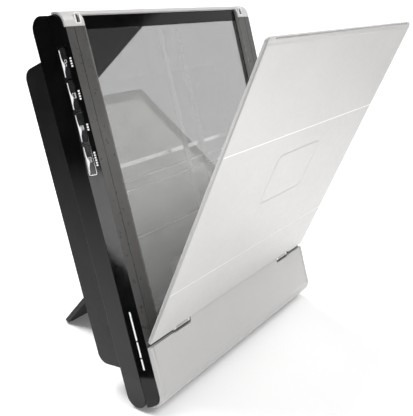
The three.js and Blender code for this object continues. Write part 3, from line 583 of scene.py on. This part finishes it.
def carve_lid_outline(high):
    """A shallow frame line where such lids carry a pressed pattern."""
    form = bmesh.new()
    outer = rounded(EMBOSS_X, EMBOSS_Y, EMBOSS_ROUND)
    inner = rounded(grown(EMBOSS_X, -EMBOSS_LINE), grown(EMBOSS_Y, -EMBOSS_LINE), EMBOSS_ROUND - EMBOSS_LINE)
    add_ring(form, outer, inner, high.z - EMBOSS_DEPTH, high.z + 0.3, LID)
    carve("lid_skin", form)


def detail_lid():
    low, high = lid_extent()
    lid_ridges(low, high)
    carve_lid_end(low, high)
    carve_lid_outline(high)


detail_lid()


# ---- rails, hinge panel and end cap ----
RAIL_LINE = 10.2
RAIL_LINE_HALF = 0.25
PANEL_LINE = 4.4
PANEL_LINE_HALF = 0.55
PANEL_LINE_DEPTH = 0.9
LIP_WIDTH = 2.0
LIP_HEIGHT = 0.22
LIP_OVERLAP = 0.1
LIP_STEPS = 10
SUNK = 0.05
SLOT_X = (15, 19.5)
SLOT_Y = (397.5, 406)
SLOT_RIM = 1.5
SLOT_RIM_HEIGHT = 0.12
SLOT_BARS = 2
SLOT_BAR_HALF = 0.35
SLOT_BAR_Z = (-2.2, -0.9)

cap_low, cap_high = extent("end_cap", TILT)
panel_low, panel_high = extent("hinge_panel", TILT)


def both_sides(inset):
    return cap_low.x + inset, cap_high.x - inset


def rail_lines():
    """The fine parting line along each rail."""
    form = bmesh.new()
    for x in both_sides(RAIL_LINE):
        line = rounded(around(x, RAIL_LINE_HALF), (panel_high.y + 1, cap_low.y - 1), 0.2, 2)
        add_prism(form, line, ORIGIN.z - SUNK, ORIGIN.z + 0.03, PLACED)
    ridden("rail_lines", form, "gloss_black", "root")


def carve_panel():
    """The fine line beside each end of the hinge panel."""
    form = bmesh.new()
    for x in both_sides(PANEL_LINE):
        along = grown((panel_low.y, panel_high.y), 1)
        add_channel(form, around(x, PANEL_LINE_HALF), along, panel_high.z, PANEL_LINE_DEPTH, PLACED)
    carve("hinge_panel", form)


def rail_beads():
    """The rounded bead along the inner edge of each rail, in a paler grey than the rail, a painted highlight.
    """
    turned = PLACED @ axes(Vector((1, 0, 0)), Vector((0, 0, 1)), Vector((0, -1, 0))).to_4x4()
    form = bmesh.new()
    for edge, side in ((glass_low.x + GLASS_UNDER, -1), (glass_high.x - GLASS_UNDER, 1)):
        outline = []
        for i in range(LIP_STEPS + 1):
            turn = math.pi * i / LIP_STEPS
            x = edge + side * (LIP_WIDTH / 2 - LIP_OVERLAP) + LIP_WIDTH / 2 * math.cos(turn)
            outline.append((x, ORIGIN.z - SUNK + (LIP_HEIGHT + SUNK) * math.sin(turn)))
        add_prism(form, outline, -(cap_low.y - 0.4), -(panel_high.y + 1.5), turned)
    ridden("rail_beads", form, "rail_edge", "root")


rail_lines()
carve_panel()
rail_beads()


# ---- keys and print on the slanted side face ----
TRIM_STEPS = 24
TRIM_INSET = 0.35
TRIM_END = 1.4
TRIM_WIDTH = 0.8
# the bulge, its peak and its spread shape the painted highlight on each key's strip
TRIM_HIGHLIGHT_BULGE = 2.1
TRIM_HIGHLIGHT_PEAK = 0.42
TRIM_HIGHLIGHT_SPREAD = 0.17
TRIM_ROOT = 0.3
MARK_HEIGHT = 0.12
MARK_SHIFT = 1.2
MARK_LINE = 0.3
PRINT_THICKNESS = 0.05
PRINT_SUNK = 0.02
LEGEND_DASHES = (4, 4, 3, 6)
LEGEND_PITCH = 2.5
LEGEND_DASH = 1.7
LEGEND_PAST_BEZEL = (1.2, 3.3)
NAME_START = 44
NAME_DASHES = (12, 17, 31)
NAME_GAP = 1.6
NAME_HALF = 0.9


def key_trim_and_highlight(low, high):
    """A bright strip along the key's outer edge that widens past its middle: partly a trim, partly a painted
    highlight in its widening.
    """
    start, end = low.y + TRIM_END, high.y - TRIM_END
    edge = low.x + TRIM_INSET
    outline = [(edge, end), (edge, start)]
    for i in range(TRIM_STEPS + 1):
        t = i / TRIM_STEPS
        highlight_swell = math.exp(-((t - TRIM_HIGHLIGHT_PEAK) / TRIM_HIGHLIGHT_SPREAD) ** 2)
        outline.append((edge + TRIM_WIDTH + TRIM_HIGHLIGHT_BULGE * highlight_swell, start + (end - start) * t))
    form = bmesh.new()
    add_prism(form, outline, high.z - TRIM_ROOT, high.z + MARK_HEIGHT, SLOPE_PLACED, 0.1)
    return form


def key_mark(index, low, high):
    """A plain picture on each key: two sheets, a tray and a line, one sheet with rules, an envelope."""
    form = bmesh.new()
    x, y = (low.x + high.x) / 2 + MARK_SHIFT, (low.y + high.y) / 2
    z = (high.z - SUNK, high.z + MARK_HEIGHT)

    def frame_of(cx, cy, wide, tall):
        outer = (around(cx, wide / 2), around(cy, tall / 2))
        inner = [grown(span, -MARK_LINE) for span in outer]
        add_ring(form, rounded(*outer, 0.3, 3), rounded(*inner, 0.15, 3), *z, SLOPE_PLACED)

    def stroke(cx, cy, wide, tall):
        add_prism(form, rounded(around(cx, wide / 2), around(cy, tall / 2), 0.12, 2), *z, SLOPE_PLACED)

    if index == 0:
        frame_of(x - 0.8, y - 1.6, 2.4, 2.8)
        frame_of(x + 0.4, y + 1.6, 2.4, 2.8)
    elif index == 1:
        frame_of(x, y, 2.6, 5.0)
        stroke(x + 2.0, y, 0.35, 5.4)
    elif index == 2:
        frame_of(x, y, 3.4, 4.4)
        for k in range(3):
            stroke(x - 0.9 + 0.9 * k, y, MARK_LINE, 2.8)
    else:
        frame_of(x, y, 3.0, 5.0)
        stroke(x, y, MARK_LINE, 3.4)
    return form


def detail_keys():
    for index, (key, body) in enumerate(KEYS.items()):
        low, high = extent(key, SLOPE)
        # each key's strip is partly trim and partly a painted highlight
        ridden(key + "_trim", key_trim_and_highlight(low, high), "print_white", body)
        ridden(key + "_mark", key_mark(index, low, high), "print_white", body)


def add_print(form, x, y, round, steps):
    low, high = SLOPE_SURFACE - PRINT_SUNK, SLOPE_SURFACE + PRINT_THICKNESS
    add_prism(form, rounded(x, y, round, steps), low, high, SLOPE_PLACED)


def printed_marks():
    """Plain dashes beside the keys, and a plain broken bar near the side face's foot."""
    bezel_low, bezel_high = extent("key_bezel", SLOPE)
    form = bmesh.new()
    for key, dashes in zip(KEYS, LEGEND_DASHES):
        low, high = extent(key, SLOPE)
        start = (low.y + high.y) / 2 - dashes * LEGEND_PITCH / 2
        for k in range(dashes):
            y = start + k * LEGEND_PITCH
            add_print(form, [bezel_high.x + past for past in LEGEND_PAST_BEZEL], (y, y + LEGEND_DASH), 0.4, 2)
    ridden("key_legend", form, "print_white", "root")
    form = bmesh.new()
    middle = (bezel_low.x + bezel_high.x) / 2 + 1
    y = extent("bottom_case", SLOPE)[0].y + NAME_START
    for length in NAME_DASHES:
        add_print(form, around(middle, NAME_HALF), (y, y + length), 0.6, 3)
        y += length + NAME_GAP
    ridden("name_bar", form, "print_white", "root")


detail_keys()


def cap_slots():
    """The pale rim round each slot in the end cap, and the dark bars in it."""
    left, right = SLOT_X
    y = [ORIGIN.y + place for place in SLOT_Y]
    rims, bars = bmesh.new(), bmesh.new()
    for x in ((cap_low.x + left, cap_low.x + right), (cap_high.x - right, cap_high.x - left)):
        outer = rounded(grown(x, SLOT_RIM), grown(y, SLOT_RIM * 0.7), 0.8, 3)
        inner = rounded(grown(x, 0.05), grown(y, 0.05), 0.4, 3)
        add_ring(rims, outer, inner, cap_high.z - 0.2, cap_high.z + SLOT_RIM_HEIGHT, PLACED)
        for k in range(SLOT_BARS):
            middle = x[0] + (x[1] - x[0]) * (k + 0.8) / (SLOT_BARS + 0.6)
            bar = rounded(around(middle, SLOT_BAR_HALF), grown(y, -0.8), 0.2, 2)
            add_prism(bars, bar, *[cap_high.z + z for z in SLOT_BAR_Z], PLACED, 0.1)
    ridden("slot_rims", rims, "silver_inside", "root")
    ridden("slot_bars", bars, "rail_edge", "root")


cap_slots()


# ---- inside the case ----
RIB_PLACES = (0.0, 0.05, 0.085, 0.25)
RIB_FIRST = 0.532
RIB_WIDTH = 5.0
RIB_TOP = 2.2
RIB_DROP = 1.0
RIB_INSET = 12


def case_ribs():
    """A cross bar and moulded ribs on the floor of the case, seen faintly through the glass."""
    rack, case = extent("drive_rack", TILT), extent("top_frame", TILT)
    reach = cap_low.y - panel_high.y
    bar, ribs = bmesh.new(), bmesh.new()
    low = rack[0].z - RIB_TOP - RIB_DROP
    for place in RIB_PLACES:
        y = panel_high.y + reach * (RIB_FIRST - place)
        form, width = (ribs, RIB_WIDTH / 3) if place else (bar, RIB_WIDTH)
        outline = rounded(grown((case[0].x, case[1].x), -RIB_INSET), (y, y + width), 0.7, 2)
        add_prism(form, outline, low, low + RIB_TOP, PLACED, 0.4)
    ridden("case_ribs", ribs, "silver_inside", "root")
    ridden("case_cross_bar", bar, "bright_steel", "root")


case_ribs()
printed_marks()


# ---- studio ----
FLOOR_RADIUS = 20.0
FLOOR_LIFT = 0.10
STUDIO_RADIUS = 7.0
DARK_FLOOR_FROM = 0.2
DARK_FLOOR_FADE = (0.25, 1.15)
DARK_FLOOR_HEIGHT = 0.0005
SIDE_PATCH = ((-0.50, -0.013), (-1.00, 0.25), (-1.9, 0.75), (-1.9, -0.3), (-0.6, -0.3))
SIDE_PATCH_LIGHT = 4.0
SIDE_PATCH_HEIGHT = 0.003
DIM_PATCH = ((-0.24, -0.2), (-0.24, 0.05), (-0.7, 0.16), (-0.7, -0.2))
DIM_PATCH_HEIGHT = 0.002
GLOSS_ONLY = ("camera", "diffuse", "shadow", "transmission")
CAMERA_ONLY = ("diffuse", "glossy", "shadow", "transmission")


def studio_piece(name, mesh, material, hidden_from=()):
    """A piece of the set. hidden_from lists the kinds of ray that don't see it."""
    mesh.materials.append(material)
    piece = bpy.data.objects.new(name, mesh)
    bpy.context.scene.collection.objects.link(piece)
    for ray in hidden_from:
        setattr(piece, "visible_" + ray, False)


def disc(name, radius, hole, height):
    """A flat round sheet, with a round hole where one is asked for."""
    mesh = bpy.data.meshes.new(name)
    form = bmesh.new()
    outer = bmesh.ops.create_circle(form, cap_ends=not hole, segments=64, radius=radius)["verts"]
    if hole:
        inner = bmesh.ops.create_circle(form, segments=64, radius=hole)["verts"]
        for i, near in enumerate(inner):
            j = (i + 1) % len(inner)
            form.faces.new((near, outer[i], outer[j], inner[j]))
    for vertex in form.verts:
        vertex.co.z = height
    form.to_mesh(mesh)
    form.free()
    return mesh


def shell(name, radius):
    """A large sphere round the set, seen from inside."""
    mesh = bpy.data.meshes.new(name)
    form = bmesh.new()
    bmesh.ops.create_uvsphere(form, u_segments=48, v_segments=24, radius=radius)
    bmesh.ops.reverse_faces(form, faces=form.faces)
    form.to_mesh(mesh)
    form.free()
    return mesh


def sheet(name, corners, height):
    """A flat sheet above the floor."""
    mesh = bpy.data.meshes.new(name)
    mesh.from_pydata([Vector((x, y, height)) for x, y in corners], [], [range(len(corners))])
    return mesh


def dull(name, scale, detail, dark, light, **values):
    """A material without gloss for the set."""
    n = Nodes(name).set(Roughness=0.9, Specular_IOR_Level=0.0, **values)
    n.feed(n.between(n.spread(n.noise(scale, detail), 0, 1), grey(dark), grey(light)), "Base Color")
    return n.material


def floor_material():
    n = Nodes("studio_floor").set(Roughness=0.85, Specular_IOR_Level=0.1)
    n.set(Emission_Strength=FLOOR_LIFT, Emission_Color=(1, 1, 1, 1))
    n.feed(n.between(n.spread(n.noise(2, 3), 0, 1), grey(0.93), grey(0.95)), "Base Color")
    return n.material


def dark_floor_material():
    """Bright beside the object, dark away from it."""
    n = Nodes("dark_floor").set(Roughness=0.9, Specular_IOR_Level=0.0)
    away = n.add("ShaderNodeVectorMath", operation="LENGTH")
    n.link(n.place, away.inputs[0])
    fade = n.spread(away.outputs["Value"], 0, 1, DARK_FLOOR_FADE)
    n.feed(n.between(fade, grey(0.9), grey(0.015)), "Base Color")
    return n.material


def make_studio():
    """A white floor and backdrop. The dark surroundings and the floor patches are seen only by the gloss."""
    studio_piece("floor", disc("floor", FLOOR_RADIUS, 0, 0), floor_material())
    ring = disc("dark_floor", FLOOR_RADIUS, DARK_FLOOR_FROM, DARK_FLOOR_HEIGHT)
    studio_piece("dark_floor", ring, dark_floor_material(), GLOSS_ONLY)
    dark = dull("dark_walls", 0.3, 2, 0.008, 0.015)
    studio_piece("dark_walls", shell("dark_walls", STUDIO_RADIUS), dark, GLOSS_ONLY)
    pale = Nodes("backdrop").set(Roughness=0.9, Emission_Strength=1.0, Emission_Color=(1, 1, 1, 1)).material
    studio_piece("backdrop", shell("backdrop", FLOOR_RADIUS - 0.1), pale, CAMERA_ONLY)
    lit = dull("side_patch", 2, 2, 0.64, 0.8, Emission_Strength=SIDE_PATCH_LIGHT, Emission_Color=(1, 1, 1, 1))
    studio_piece("side_patch", sheet("side_patch", SIDE_PATCH, SIDE_PATCH_HEIGHT), lit, GLOSS_ONLY)
    dim = dull("dim_patch", 2, 2, 0.008, 0.01)
    studio_piece("dim_patch", sheet("dim_patch", DIM_PATCH, DIM_PATCH_HEIGHT), dim, GLOSS_ONLY)


make_studio()
